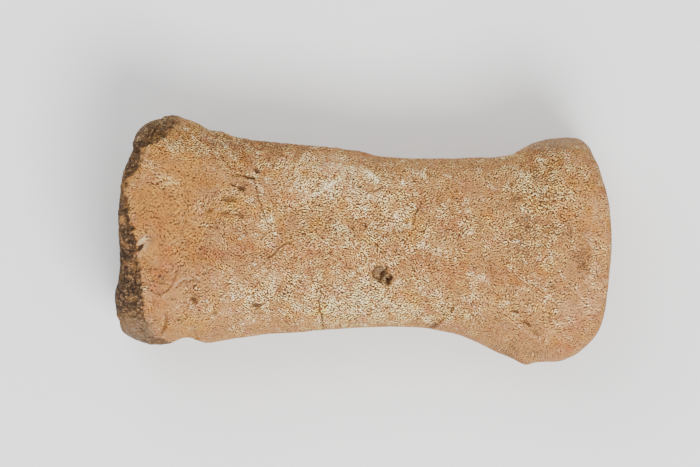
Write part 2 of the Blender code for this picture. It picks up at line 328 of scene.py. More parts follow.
RUST = (
    (-39, -6, 5, 3.5, 0.80),
    (-30, -4, 6, 3, 0.60),
    (-20, -6, 7, 3, 0.50),
    (-6, -5, 8, 3, 0.70),
    (8, -3.5, 7, 3, 0.80),
    (20, -6, 8, 2.2, 0.90),
    (33, -7.5, 8, 2.2, 0.90),
    (44, -7, 5, 2.5, 0.60),
    (0, 6, 4, 4, 0.50),
    (13, 8, 3, 5, 0.60),
    (24, 4, 5, 3, 0.40),
    (43, 21, 5, 4, 0.80),
    (48, 10, 4, 6, 0.50),
    (-19, 9, 4, 4, 0.45),
    (-34, 21, 11, 3.5, 0.80),
    (-27, 16, 4, 4, 0.35),
    (52, -24, 6, 4, 0.50),
    (-51, -20, 3, 4, 0.30),
)

# Low swells and shallow hollows on the side that is up: (x, y, reach along, reach across, height).
SWELLS = (
    (-48.9, -11.3, 3.4, 3.4, -0.55),
    (-43.4, -9.5, 2.0, 5.0, 0.40),
    (-46.5, -18.5, 3.0, 2.2, 0.45),
    (-41.5, -18.5, 2.2, 2.0, 0.35),
    (-52.0, 1.0, 2.2, 3.5, 0.45),
    (-50.0, 8.5, 3.5, 4.0, 0.35),
    (-44.0, 17.5, 4.5, 3.0, 0.35),
    (-38.5, 10.5, 2.0, 8.0, -0.30),
    (-39.5, -13.0, 2.0, 2.0, -0.35),
    (52.8, 2.0, 1.6, 12.0, -0.25),
    (53.6, -2.6, 2.6, 2.6, -0.40),
    (47.0, 16.0, 4.0, 4.0, 0.35),
    (42.0, 2.0, 3.0, 7.0, -0.30),
    (45.0, -17.0, 5.0, 2.5, 0.40),
    (38.0, -21.0, 5.0, 2.0, -0.35),
    (50.0, -19.0, 2.5, 4.0, -0.30),
)

# How strong the fine fibres show where nothing else is said. FIBRES adds to it, and COARSE makes them coarser.
PLAIN_FIBRES = 0.42
FIBRES = (
    (0, 4, 30, 14, 0.72),
    (-4, -16, 26, 6, 0.95),
    (43, 16, 9, 9, 0.90),
    (44, 2, 7, 7, 0.40),
    (-50, -6, 6, 9, -0.30),
    (-48, -20, 7, 7, -0.20),
    (-46, 6, 8, 12, -0.20),
    (55, 8, 4, 9, -0.20),
    (-52, 26, 8, 5, 0.45),
    (-36, 22, 12, 4, 0.90),
)
COARSE = (
    (-47, -3, 13, 24, 1.00),
    (46, -18, 18, 9, 0.70),
    (46, 10, 12, 12, 0.50),
    (-4, -17, 24, 5, 0.25),
)

# The vessel holes on the two sides: (x, height).
FORAMEN_LEFT = (5.0, -9.0)
FORAMEN_RIGHT = (-3.0, -7.0)


def ease(t):
    """0 below 0, 1 above 1, and a smooth step between."""
    t = np.clip(t, 0.0, 1.0)
    return t * t * (3 - 2 * t)


def hump(distance, half_width, power=2):
    """1 at distance 0, falling smoothly to nearly 0 past half_width."""
    return np.exp(-(np.abs(distance / half_width) ** power))


def follow(outline, x):
    """The height of an outline at x, on a smooth curve through its points."""
    at, height = np.array(outline, float).T
    last = len(at) - 1
    i = np.clip(np.searchsorted(at, x) - 1, 0, last - 1)
    before = np.maximum(i - 1, 0)
    after = np.minimum(i + 2, last)
    span = at[i + 1] - at[i]
    t = np.clip((x - at[i]) / span, 0.0, 1.0)
    start_slope = (height[i + 1] - height[before]) / (at[i + 1] - at[before]) * span
    end_slope = (height[after] - height[i]) / (at[after] - at[i]) * span
    return (
        height[i] * (1 + 2 * t) * (1 - t) ** 2
        + start_slope * t * (1 - t) ** 2
        + height[i + 1] * t * t * (3 - 2 * t)
        - end_slope * t * t * (1 - t)
    )


def signed_power(value, power):
    return np.sign(value) * np.abs(value) ** power


def section_point(x, angle):
    """(height, width) of the bone's surface at x. Angle 0 is the left side, and a quarter turn is the top."""
    waist = 1 - ease(np.abs(x) / WAIST_REACH)
    upwards = ease(np.sin(angle))
    squareness = END_SQUARENESS + (WAIST_SQUARENESS - END_SQUARENESS) * waist + TOP_SQUARENESS * upwards
    power = 2 / squareness
    edge = np.where(np.sin(angle) > 0, np.abs(follow(DORSAL_EDGE, x)), np.abs(follow(VENTRAL_EDGE, x)))
    height = edge * signed_power(np.sin(angle), power)
    width = follow(HALF_WIDTH, x) * signed_power(np.cos(angle), power)
    return height, width


def end_shift(x, height):
    """How far the bone's ends move along it with height: the bow of the rear end and the cut corners."""
    rear = ease((x - REAR_END + BOW_REACH) / BOW_REACH)
    front = ease((FRONT_END + BOW_REACH - x) / BOW_REACH)
    share = np.abs(height / CORNER_HEIGHT)
    top_bow = REAR_TOP_BOW * share**REAR_TOP_POWER
    bow = np.where(height > 0, top_bow, REAR_BOTTOM_BOW * share**REAR_BOTTOM_POWER)
    recess = np.where(height > 0, FRONT_TOP_RECESS, FRONT_BOTTOM_RECESS) * share**RECESS_POWER
    wave = FRONT_WAVE * np.cos(2 * math.pi * (height - FRONT_WAVE_CREST) / FRONT_WAVE_PERIOD)
    return front * (recess - wave) - rear * bow


def arch_foot(x, width):
    """1 on the broken feet of the arch."""
    along = ease((x - ARCH_FOOT_FRONT) / ARCH_FOOT_FADE) * ease((ARCH_FOOT_REAR - x) / ARCH_FOOT_FADE)
    return along * hump(np.abs(width) - ARCH_FOOT_OFFSET, ARCH_FOOT_HALF_WIDTH)


def bone_point(x, share, inset, angle):
    """Points of the bone. share shrinks the section about the axis, and inset moves end points along it."""
    height, width = section_point(x, angle)
    top = np.maximum(np.sin(angle), 0.0) ** 0.5
    bottom = np.maximum(-np.sin(angle), 0.0) ** 0.5
    side = np.abs(np.cos(angle)) ** 0.5
    towards_end = ease(np.abs(x) / REAR_END)
    canal = CANAL_DEPTH + (CANAL_END_DEPTH - CANAL_DEPTH) * towards_end
    canal = canal * hump(width, CANAL_HALF_WIDTH + CANAL_FLARE * towards_end, 4)
    groove = follow(GROOVE_DEPTHS, x) * hump(width, GROOVE_HALF_WIDTH)
    height = height + top * (ARCH_FOOT_RISE * arch_foot(x, width) - canal) + bottom * groove
    offset = np.abs(height - FLANK_RIDGE_HEIGHT) - FLANK_HOLLOW_OFFSET
    hollow = FLANK_HOLLOW_DEPTH * hump(x, FLANK_HOLLOW_REACH, 4) * hump(offset, FLANK_HOLLOW_HALF_HEIGHT)
    width = width - np.sign(width) * side * hollow
    height = height * share
    width = width * share
    return np.stack([x + inset + end_shift(x, height), height, width], -1)


def face_profile(share, depth):
    """How deep an end face is at this share of the way from its middle to its lip."""
    return depth * (1 - share**2) ** CUP_POWER + NOTOCHORD_PIT_DEPTH * hump(share, NOTOCHORD_PIT_SHARE)


def ring_angles(x):
    """Angles round the bone at x, from the middle of the side it lies on, UPPER_SHARE of them above."""
    fine = np.linspace(math.pi, 3 * math.pi, 2049)
    height, width = section_point(np.full(fine.shape, x), fine)
    run = np.concatenate([[0], np.cumsum(np.hypot(np.diff(height), np.diff(width)))])
    lower, upper = np.interp([1.5 * math.pi, 2.5 * math.pi], fine, run)
    places = [0, (1 - UPPER_SHARE) / 2, (1 + UPPER_SHARE) / 2, 1]
    even = np.arange(POINTS_AROUND) / POINTS_AROUND
    return np.interp(np.interp(even, places, [0, lower, upper, run[-1]]), run, fine)


def rings():
    """Rings of the bone's points, from the front face's middle to the rear's, and each ring's kind."""
    made = []
    kinds = []
    angles = ring_angles(FRONT_END)
    lip_length = FRONT_LIP_LENGTH + FRONT_LIP_VENTRAL_EXTRA * np.maximum(-np.sin(angles), 0.0)
    end = np.full(angles.shape, FRONT_END)
    lip_share = 1 - FRONT_LIP_DEPTH / CORNER_HEIGHT
    for share in np.arange(1, FACE_RINGS + 1) / FACE_RINGS:
        made.append(bone_point(end, share * lip_share, face_profile(share, FRONT_CUP_DEPTH), angles))
        kinds.append("front")
    for turn in math.pi / 2 * np.arange(1, FRONT_LIP_RINGS + 1) / FRONT_LIP_RINGS:
        share = lip_share + (1 - lip_share) * math.sin(turn)
        made.append(bone_point(end, share, (1 - math.cos(turn)) * lip_length, angles))
        kinds.append("side")
    front, rear = FRONT_END + FRONT_LIP_LENGTH, REAR_END - REAR_LIP_LENGTH
    for along in np.arange(1, SIDE_RINGS) / SIDE_RINGS:
        about = front + (REAR_END - REAR_LIP_LENGTH - FRONT_END - FRONT_LIP_LENGTH) * along
        angles = ring_angles(about)
        start = front + FRONT_LIP_VENTRAL_EXTRA * np.maximum(-np.sin(angles), 0.0)
        x = start + (rear - start) * along
        made.append(bone_point(x, 1.0, 0.0, angles))
        kinds.append("side")
    angles = ring_angles(REAR_END)
    end = np.full(angles.shape, REAR_END)
    lip_share = 1 - REAR_LIP_DEPTH / CORNER_HEIGHT
    for turn in math.pi / 2 * np.arange(REAR_LIP_RINGS, 0, -1) / REAR_LIP_RINGS:
        share = lip_share + (1 - lip_share) * math.sin(turn)
        made.append(bone_point(end, share, -(1 - math.cos(turn)) * REAR_LIP_LENGTH, angles))
        kinds.append("side")
    for share in np.arange(FACE_RINGS, 0, -1) / FACE_RINGS:
        made.append(bone_point(end, share * lip_share, -face_profile(share, REAR_CUP_DEPTH), angles))
        kinds.append("rear")
    return np.array(made), np.array(kinds)


def outward_from(grid):
    """Unit vectors out of the surface at each point of the grid."""
    along = np.gradient(grid, axis=0)
    around = np.roll(grid, -1, 1) - np.roll(grid, 1, 1)
    outward = np.cross(around, along)
    outward /= np.maximum(np.linalg.norm(outward, axis=2, keepdims=True), 1e-9)
    middle = len(grid) // 2
    inwards = (outward[middle] * grid[middle] * (0, 1, 1)).sum() < 0
    return -outward if inwards else outward


def unrolled(grid, kinds):
    """Each point's place on the surface laid flat, as (along, around), with a column more where it closes."""
    closed = np.concatenate([grid, grid[:, :1]], 1)
    around = np.cumsum(np.linalg.norm(np.diff(closed, axis=1, prepend=closed[:, :1]), axis=2), 1)
    around -= around[:, POINTS_AROUND // 2, None]
    along = np.cumsum(np.linalg.norm(np.diff(closed, axis=0, prepend=closed[:1]), axis=2), 0)
    along -= along[len(grid) // 2]
    flat = np.stack([along, around], -1)
    faces = kinds != "side"
    flat[faces] = closed[faces][..., 1:]
    return flat


# The slopes of the noise at the corners of its cells.
SLOPES = np.array(
    [(x, y, 0) for x in (-1, 1) for y in (-1, 1)]
    + [(x, 0, z) for x in (-1, 1) for z in (-1, 1)]
    + [(0, y, z) for y in (-1, 1) for z in (-1, 1)]
    + [(1, 1, 0), (-1, 1, 0), (0, -1, 1), (0, -1, -1)],
    np.float32,
)


def mixed_up(corner):
    """A number from 0 to 15 for each corner number, in no clear order."""
    corner = (corner ^ (corner >> 13)) * 1274126177
    return (corner ^ (corner >> 16)) & 15


def ripple(points, size, seed=0):
    """Smooth noise from about -1 to 1, with lumps of this size."""
    place = np.moveaxis(points / size, -1, 0)
    cell = np.floor(place)
    inside = (place - cell).astype(np.float32)
    blend = inside**3 * (inside * (inside * 6 - 15) + 10)
    cell = cell.astype(np.int64)
    keys = [(c * prime, (c + 1) * prime) for c, prime in zip(cell, (73856093, 19349663, 83492791))]
    start = (seed + 1) * 26544357
    total = 0
    for i, j, k in np.ndindex(2, 2, 2):
        slope = SLOPES[mixed_up(keys[0][i] ^ keys[1][j] ^ keys[2][k] ^ start)]
        height = (inside[0] - i) * slope[..., 0] + (inside[1] - j) * slope[..., 1]
        height = height + (inside[2] - k) * slope[..., 2]
        for axis, far in enumerate((i, j, k)):
            height *= blend[axis] if far else 1 - blend[axis]
        total = total + height
    return total


def fractal(points, size, octaves, seed=0, fade=0.5):
    """ripple at several sizes, each half the one before."""
    return sum(fade**i * ripple(points, size / 2**i, seed + 17 * i) for i in range(octaves))


def patches(points, spots):
    """The sum of soft oval patches in side view."""
    total = np.zeros(points.shape[:-1])
    for x, y, along, across, strength in spots:
        run, rise = (points[..., 0] - x) / along, (points[..., 1] - y) / across
        total += strength * np.exp(-(run**2) - rise**2)
    return total


def line_distance(points, line):
    """(distance in side view to a line through these points, how far along it from 0 to 1, side of it)."""
    best = np.full(points.shape[:-1], 1e9)
    share = np.zeros(points.shape[:-1])
    side = np.zeros(points.shape[:-1])
    line = np.array(line, float)
    for i, (start, end) in enumerate(zip(line, line[1:])):
        step = end - start
        t = np.clip(((points[..., :2] - start) @ step) / (step @ step), 0, 1)
        gap = points[..., :2] - start - t[..., None] * step
        distance = np.hypot(gap[..., 0], gap[..., 1])
        near = distance < best
        best = np.where(near, distance, best)
        share = np.where(near, (i + t) / (len(line) - 1), share)
        side = np.where(near, np.sign(step[0] * gap[..., 1] - step[1] * gap[..., 0]), side)
    return best, share, side


def solid_lumps(grid, outward):
    """The points moved by the solid's own unevenness, and where the rock in the front cup is."""
    flat = grid.reshape(-1, 3)
    move = np.zeros(len(flat))
    for size, height in LUMPS:
        move += height * np.array([noise.noise(Vector(p)) for p in flat / size])
    from_end = flat[:, 0] - FRONT_END - end_shift(np.full(len(flat), FRONT_END), flat[:, 1])
    at_front = 1 - ease(from_end / FRONT_WEAR_REACH)
    worn = at_front > 0
    shifted = flat[worn] / FRONT_WEAR_SIZE + FRONT_WEAR_SHIFT
    move[worn] += at_front[worn] * FRONT_WEAR_HEIGHT * np.array([noise.noise(Vector(p)) for p in shifted])

    # The rock in the front cup.
    normal = outward.reshape(-1, 3)
    share = np.hypot(flat[:, 1] / CORNER_HEIGHT, flat[:, 2] / follow(HALF_WIDTH, FRONT_END))
    inside = ease((ROCK_REACH - share) / ROCK_FADE) * ease(-2 * normal[:, 0] - 1)
    cup = inside > 0
    shifted = flat[cup] / ROCK_PATCH_SIZE + ROCK_SHIFT
    patch = ease(0.5 + np.array([noise.noise(Vector(p)) for p in shifted]))
    move[cup] += ROCK_HEIGHT * inside[cup] * patch
    rock = np.zeros(len(flat))
    rock[cup] = inside[cup] * ease(patch * 1.5 - 0.3)
    shape = grid.shape[:-1]
    return grid + outward * move.reshape(shape)[..., None], rock.reshape(shape)


def pit(points, centre, slant, half_length, half_width):
    """1 in the middle of a long pit in side view, and 0 outside it."""
    across = points[..., :2] - centre
    c, s = math.cos(math.radians(slant)), math.sin(math.radians(slant))
    along = (across[..., 0] * c + across[..., 1] * s) / half_length
    wide = (-across[..., 0] * s + across[..., 1] * c) / half_width
    return 1 - ease((np.hypot(along, wide) - 0.55) / 0.7)


def scatter(rng, count, base, outward, keep):
    """Random places on the surface where keep is true, each with a mostly lengthwise direction on it."""
    chosen = rng.choice(np.flatnonzero(keep.ravel()), count, replace=False)
    lengthwise = rng.normal(size=(count, 3)) * (1.0, 0.4, 0.4) + (1.0, 0.0, 0.0)
    normal = outward.reshape(-1, 3)[chosen]
    direction = lengthwise - (lengthwise * normal).sum(1, keepdims=True) * normal
    return base.reshape(-1, 3)[chosen], direction / np.linalg.norm(direction, axis=1, keepdims=True)


def wear(grid, outward, kinds, rock):
    """How far each point moves outwards, and the masks that the material reads."""
    x, y, z = grid[..., 0], grid[..., 1], grid[..., 2]
    marks = grid - (0, MARKS_RISE, 0)
    height = marks[..., 1]
    shape = grid.shape[:-1]
    relief = np.zeros(shape)
    masks = {}
    seen = ease((outward[..., 2] + 0.05) / 0.25) * (z > -2)
    face = np.isin(kinds, ("front", "rear"))[:, None] & np.ones(shape, bool)
    front_face = (kinds == "front")[:, None] & np.ones(shape, bool)
    rear_face = (kinds == "rear")[:, None] & np.ones(shape, bool)

    broad = fractal(grid, 9, 3, 1)
    middling = fractal(grid, 3.2, 3, 2)
    fine = fractal(grid, 1.1, 2, 3)
    relief += 0.10 * broad + 0.08 * middling + 0.03 * fine

    # The crust of the broken front rim. On the side that is up its inner edge is known; elsewhere it wanders.
    heights, edge, softness, strength = np.array(CRUST).T
    known = np.interp(height, heights, edge) + 1.2 * fractal(grid, 1.6, 2, 4) + 0.5 * ripple(grid, 4.5, 5)
    inside = known - x - ease((-2 - z) / 6) * (1.0 + 1.5 * ripple(grid, 7, 6))
    inside = np.where(front_face, 9.0, inside)
    soft = np.interp(height, heights, softness)
    crust = ease((inside + soft / 2) / soft)
    rough = np.abs(fractal(grid, 2.4, 3, 7))
    grains = fractal(grid, 0.9, 2, 8)
    bevel = CRUST_DEPTH * ease(inside / CRUST_STEP) * np.abs(outward[..., 2])
    relief += crust * (0.75 * rough + 0.22 * grains - 0.22) * (0.3 + 0.7 * np.abs(outward[..., 2])) - bevel
    masks["crust"] = crust * np.interp(height, heights, strength) * ease(1.1 + 1.0 * ripple(grid, 2.4, 16))

    # The rock in the hollow of the front face.
    relief += rock * (0.25 * middling + 0.08 * grains)
    masks["rock"] = rock

    # The rear face: growth lines near its lip.
    from_axis = np.hypot(y / 27, z / 23)
    relief += rear_face * 0.06 * np.sin(from_axis * 95 + 2 * broad) * ease((from_axis - 0.45) / 0.3)

    # The broken feet of the arch, and the torn edge of the canal.
    foot = arch_foot(x, z) * (y > 12) * ~face
    foot = ease((foot - 0.25) * 2)
    relief += foot * (0.35 * np.abs(fractal(grid, 2.6, 3, 12)) - 0.12)

    # Low swells and shallow hollows.
    relief += 1.1 * patches(marks, SWELLS) * seen * ~face

    # Pits, cracks and scars, all a little crooked.
    dark = 0.6 * hump(inside - 0.2, 0.5) * ease(0.4 + 1.2 * ripple(grid, 3.5, 9)) * ~front_face * (soft < 1)
    crooked = marks + 0.22 * np.stack([ripple(grid, 0.9, 13), ripple(grid, 0.9, 17), np.zeros(shape)], -1)
    crooked += 0.35 * np.stack([ripple(grid, 2.6, 18), ripple(grid, 2.6, 19), np.zeros(shape)], -1)
    for px, py, half_length, half_width, slant, depth, darkness in PITS:
        mask = pit(crooked, (px, py), slant, half_length, half_width) * seen
        relief -= depth * mask
        dark += darkness * mask
    gaps = ease(1.1 + 1.1 * ripple(grid, 1.2, 20))
    for depth, darkness, line in CRACKS:
        distance, share, _ = line_distance(crooked, line)
        thin = 0.07 * np.sin(math.pi * np.clip(share, 0.05, 0.95))
        mask = (1 - ease((distance - thin) / 0.24)) * seen * gaps
        relief -= depth * mask
        dark += darkness * mask
    pale = np.zeros(shape)
    for width, depth, line in SCARS:
        distance, share, side = line_distance(crooked, line)
        taper = ease(share * 6) * ease((1 - share) * 6) * seen
        relief += depth * hump(distance, width) * taper * np.where(side > 0, -0.6, 0.4)
        # Painted shade: a dark line along each scar's step. Painted highlight: a pale band on the lowered side
        # of the deeper scars.
        dark += 0.8 * depth * hump(distance, width * 0.3) * taper * gaps
        pale += 0.25 * (depth > 0.5) * hump(distance - 0.6 * width, width * 0.4) * (side > 0) * taper * gaps
    broken_up = ease(0.75 + 1.3 * ripple(grid, 1.3, 14) + 0.8 * ripple(grid, 3.0, 31))
    for strength, half_width, line in STREAKS:
        distance, _, _ = line_distance(crooked, line)
        pale += strength * hump(distance, half_width) * seen * broken_up

    # The vessel holes, darkened inside with painted shade. The left one is a hollow with two mouths, the
    # deeper one at its lower rear.
    hx, hy = FORAMEN_LEFT
    cx, cy = crooked[..., 0] - hx, crooked[..., 1] - hy
    from_bowl = np.hypot(cx + 0.5, cy - 0.5) / 1.70
    from_mouth = np.hypot(cx - 1.2, cy + 0.65) / 1.45
    bowl = (1 - ease((from_bowl - 0.7) / 0.5)) * seen
    mouth = (1 - ease((from_mouth - 0.7) / 0.5)) * seen
    throat = pit(crooked, (hx + 1.5, hy - 1.15), -30, 0.42, 0.34) * seen
    spur = pit(crooked, (hx + 1.1, hy + 1.85), 75, 0.75, 0.42) * seen
    relief -= 0.9 * bowl + 1.3 * mouth + 1.0 * throat + 0.4 * spur
    # Painted shade: the bowl, one side of its rim, the rim of the mouth, the throat and the spur are darkened.
    dark += 0.50 * bowl + 0.60 * hump(from_bowl - 0.95, 0.2) * seen * ease(0.5 - cx)
    ring = hump(from_mouth - 0.85, 0.3) * seen * ease(0.8 + 1.0 * ripple(grid, 0.8, 15))
    dark += 0.30 * mouth + 1.10 * ring
    dark += 1.6 * throat + 1.0 * spur
    pale += 0.6 * mouth * hump(np.hypot(cx - 0.9, cy + 0.8), 0.35)
    hx, hy = FORAMEN_RIGHT
    hidden = ease((-outward[..., 2] + 0.05) / 0.25) * (z < 2)
    deep = pit(grid, (hx, hy), -15, 2.0, 1.6) * hidden
    relief -= 2.2 * deep
    # Painted shade inside the right hole.
    dark += 1.8 * deep

    # Small pits and short cracks that aren't in the picture: on all hidden sides, thickest near both rims.
    rng = np.random.default_rng(11)
    flat = grid.reshape(-1, 3)
    flat_relief, flat_dark = relief.reshape(-1), dark.reshape(-1)
    sides = ~face & (seen < 0.3)
    near_rim = sides & (np.abs(x) > 30)
    groups = ((near_rim, 60, 1.6, 0.45), (sides, 50, 1.1, 0.35), (face, 46, 1.2, 0.4))
    for keep, count, longest, depth in groups:
        for centre, direction in zip(*scatter(rng, count, grid, outward, keep)):
            reach = longest * rng.uniform(0.35, 1.0)
            near = np.flatnonzero((np.abs(flat - centre) < reach * 1.4).all(1))
            gap = flat[near] - centre
            run = gap @ direction
            cross = np.sqrt(np.maximum((gap**2).sum(-1) - run**2, 0))
            mask = 1 - ease((np.hypot(run / reach, cross / (reach * rng.uniform(0.25, 0.5))) - 0.35) / 0.9)
            flat_relief[near] -= depth * rng.uniform(0.5, 1.0) * mask
            flat_dark[near] += rng.uniform(0.4, 0.9) * mask

    # A speck of dark mineral with a painted highlight (a glint) at its edge, and a lump of grey rock under it.
    speck = pit(crooked, (-53.8, -4.9), 50, 1.3, 0.5) * seen
    dark += 1.6 * speck
    # Painted highlight: the glint beside the speck.
    glint = hump(np.hypot((x + 53.2) / 1.1, (height + 4.2) / 1.3), 1.0, 4)
    pale += 0.45 * (glint * ease(0.35 + 1.6 * ripple(grid, 0.7, 32))) * seen
    masks["grey"] = np.clip(
        0.6 * hump(np.hypot((x + 52.6) / 1.8, (height + 4.0) / 2.6), 1.0) * seen
        + 0.7 * hump(np.hypot((x + 54.0) / 4.5, (height + 25.5) / 3.2), 1.0, 4) * (z > -8)
        # Painted shade: a grey band along the top edge above the rear rim, where it turns away from the light.
        + 0.7 * hump(np.hypot((x - 44.0) / 9.0, (height - 26.5) / 3.0), 1.0, 4)
        + 0.8 * np.maximum(bowl, mouth),
        0,
        1,
    )

    # A chipped notch in the front rim, and one under it.
    notch = np.exp(-(((x + 56.4) / 1.8) ** 2) - ((height - 18.9) / 1.1) ** 2) * (z > -6)
    relief -= 1.0 * notch
    dark += 0.6 * notch
    notch = np.exp(-(((x + 42.0) / 2.2) ** 2) - ((height + 27.2) / 1.6) ** 2) * (z > -8)
    relief -= 0.5 * notch

    hue = fractal(grid, 16, 3, 21)
    stray = marks + 7 * np.stack([ripple(grid, 22, 22), ripple(grid, 22, 23), ripple(grid, 22, 24)], -1)
    stray = np.where((z > 0)[..., None], marks, stray)
    stray = stray + 0.9 * np.stack([ripple(grid, 5, 25), ripple(grid, 5, 26), np.zeros(shape)], -1)
    masks["ochre"] = np.clip(patches(stray, OCHRE) + 0.25 * hue + 0.10 * middling, 0, 1)
    masks["pink"] = np.clip(patches(stray, PINK) - 0.25 * hue, 0, 1)
    masks["cream_and_rim_light"] = np.clip(patches(stray, CREAM_AND_RIM_LIGHT) + 0.30 * middling + 0.15 * broad, 0, 1)
    # Stains, and along the top edge painted shade.
    masks["stain_and_edge_shade"] = np.clip(patches(stray, STAIN_AND_EDGE_SHADE) * (0.75 + 0.9 * middling) + 0.06 * broad, 0, 1)
    masks["rust"] = np.clip(patches(stray, RUST) * (0.9 + 0.8 * middling) + 0.10 * hue, 0, 1)
    masks["fibres"] = np.clip(PLAIN_FIBRES + patches(stray, FIBRES) + 0.15 * broad, 0.05, 1.3)
    masks["coarse"] = np.clip(patches(stray, COARSE), 0, 1)
    masks["pale"] = np.clip(pale, 0, 1)
    masks["dark"] = np.clip(dark, 0, 2)

    # The way across the fibres, as an angle: they run along the bone, wandering most where they are faint.
    turn = math.radians(80) * ripple(grid, 12, 27) + math.radians(70) * ripple(grid, 4, 28)
    masks["across"] = math.pi / 2 + turn * (1.3 - 0.65 * masks["fibres"])
    return relief, masks


# How much of the map's width a millimetre of the end faces takes.
FACE_MAP_SCALE = 0.0056 * 0.95


def fine_mesh(grid, kinds, shift, masks, flat):
    """The closed mesh of the grid, in metres, with its masks and its map."""
    count, points = grid.shape[:2]
    ends = np.array([grid[0].mean(0), grid[-1].mean(0)])
    verts = (np.concatenate([grid.reshape(-1, 3), ends]) + shift) * MM
    ring = np.arange(count - 1)[:, None] * points
    spot = np.arange(points)[None]
    following = (spot + 1) % points
    quads = np.stack([ring + spot, ring + following, ring + points + following, ring + points + spot], -1)
    quads = quads.reshape(-1, 4)
    first = np.stack([np.full(points, count * points), following[0], spot[0]], -1)
    last_ring = (count - 1) * points
    last = np.stack([np.full(points, count * points + 1), last_ring + spot[0], last_ring + following[0]], -1)
    corners = np.concatenate([quads.ravel(), first.ravel(), last.ravel()])
    starts = np.concatenate([np.arange(len(quads)) * 4, len(quads) * 4 + np.arange(2 * points) * 3])

    mesh = bpy.data.meshes.new("fossil_bone")
    mesh.vertices.add(len(verts))
    mesh.vertices.foreach_set("co", verts.ravel())
    mesh.loops.add(len(corners))
    mesh.loops.foreach_set("vertex_index", corners)
    mesh.polygons.add(len(starts))
    mesh.polygons.foreach_set("loop_start", starts)
    mesh.update(calc_edges=True)
    mesh.shade_smooth()

    for name, values in masks.items():
        attribute = mesh.attributes.new(f"bone_{name}", "FLOAT", "POINT")
        full = np.concatenate([values.ravel(), values[0].mean(keepdims=True), values[-1].mean(keepdims=True)])
        attribute.data.foreach_set("value", full)
    # The map: the side unrolled below, and the two end faces above it.
    side = np.flatnonzero(kinds == "side")
    low, high = side[0] - 1, side[-1] + 1
    v_along = np.clip((np.arange(count) - low) / (high - low), 0, 1)
    corner_ring = corners // points
    corner_spot = corners % points
    u = corner_spot / points
    face_of_corner = np.repeat(np.arange(len(starts)), np.diff(np.append(starts, len(corners))))
    quad_ring = np.where(face_of_corner < len(quads), face_of_corner // points, -1)
    wraps = (face_of_corner < len(quads)) & (face_of_corner % points == points - 1) & (corner_spot == 0)
    u = np.where(wraps, 1.0, u)
    on_side = (quad_ring >= low) & (quad_ring < high)
    corner_point = np.concatenate([grid.reshape(-1, 3), ends])[corners]
    front = ~on_side & (corner_point[:, 0] < 0)
    rear = ~on_side & ~front
    laid = corner_point[:, [1, 2, 0]]
    column = np.where(wraps, points, corner_spot)[on_side]
    laid[on_side, :2] = flat[corner_ring[on_side], column]
    laid[:, 2] = 0
    attribute = mesh.attributes.new("bone_laid_flat", "FLOAT_VECTOR", "CORNER")
    attribute.data.foreach_set("vector", laid.ravel())
    uv = np.zeros((len(corners), 2))
    uv[on_side, 0] = 0.02 + 0.94 * u[on_side]
    uv[on_side, 1] = 0.01 + 0.66 * v_along[np.minimum(corner_ring, count - 1)][on_side]
    for which, middle in ((front, (0.25, 0.84)), (rear, (0.70, 0.84))):
        uv[which, 0] = middle[0] + corner_point[which, 1] * FACE_MAP_SCALE
        uv[which, 1] = middle[1] + corner_point[which, 2] * FACE_MAP_SCALE
    layer = mesh.uv_layers.new(name="OFBake")
    layer.uv.foreach_set("vector", uv.ravel())
    return mesh


class Nodes:
    """Short ways to add nodes to a material."""

    def __init__(self, tree):
        self.tree = tree
        tree.nodes.clear()

    def add(self, kind, inputs, **settings):
        made = self.tree.nodes.new(kind)
        for name, value in settings.items():
            setattr(made, name, value)
        for key, value in inputs.items():
            if isinstance(value, bpy.types.NodeSocket):
                self.tree.links.new(value, made.inputs[key])
            else:
                made.inputs[key].default_value = value
        return made

    def math(self, operation, a, b=0.0, c=0.0, clamp=False):
        return self.add("ShaderNodeMath", {0: a, 1: b, 2: c}, operation=operation, use_clamp=clamp).outputs[0]

    def mix(self, factor, a, b, blend="MIX"):
        settings = {"data_type": "RGBA", "blend_type": blend, "clamp_factor": True}
        return self.add("ShaderNodeMix", {0: factor, 6: a, 7: b}, **settings).outputs[2]

    def span(self, value, low, high, to_low=0.0, to_high=1.0):
        inputs = {0: value, 1: low, 2: high, 3: to_low, 4: to_high}
        return self.add("ShaderNodeMapRange", inputs, interpolation_type="SMOOTHSTEP", clamp=True).outputs[0]

    def mask(self, name):
        return self.add("ShaderNodeAttribute", {}, attribute_name=f"bone_{name}").outputs["Fac"]

    def noise(self, coordinates, size, detail=3.0, roughness=0.55, distortion=0.0, output="Fac"):
        inputs = {
            "Vector": coordinates,
            "Scale": 1 / (size * MM),
            "Detail": detail,
            "Roughness": roughness,
            "Distortion": distortion,
        }
        return self.add("ShaderNodeTexNoise", inputs, noise_dimensions="3D").outputs[output]

    def patchy(self, mask, coordinates, size, swing=3.6):
        """A soft mask broken into patches of this size."""
        around_zero = self.math("SUBTRACT", self.noise(coordinates, size), 0.5)
        swung = self.math("MULTIPLY_ADD", around_zero, swing, mask)
        return self.span(swung, 0.05, 0.95)

    def ramp(self, value, stops):
        made = self.add("ShaderNodeValToRGB", {0: value})
        ramp = made.color_ramp
        while len(ramp.elements) < len(stops):
            ramp.elements.new(0.5)
        for element, (position, colour) in zip(ramp.elements, stops):
            element.position = position
            element.color = (*colour, 1)
        return made.outputs[0]


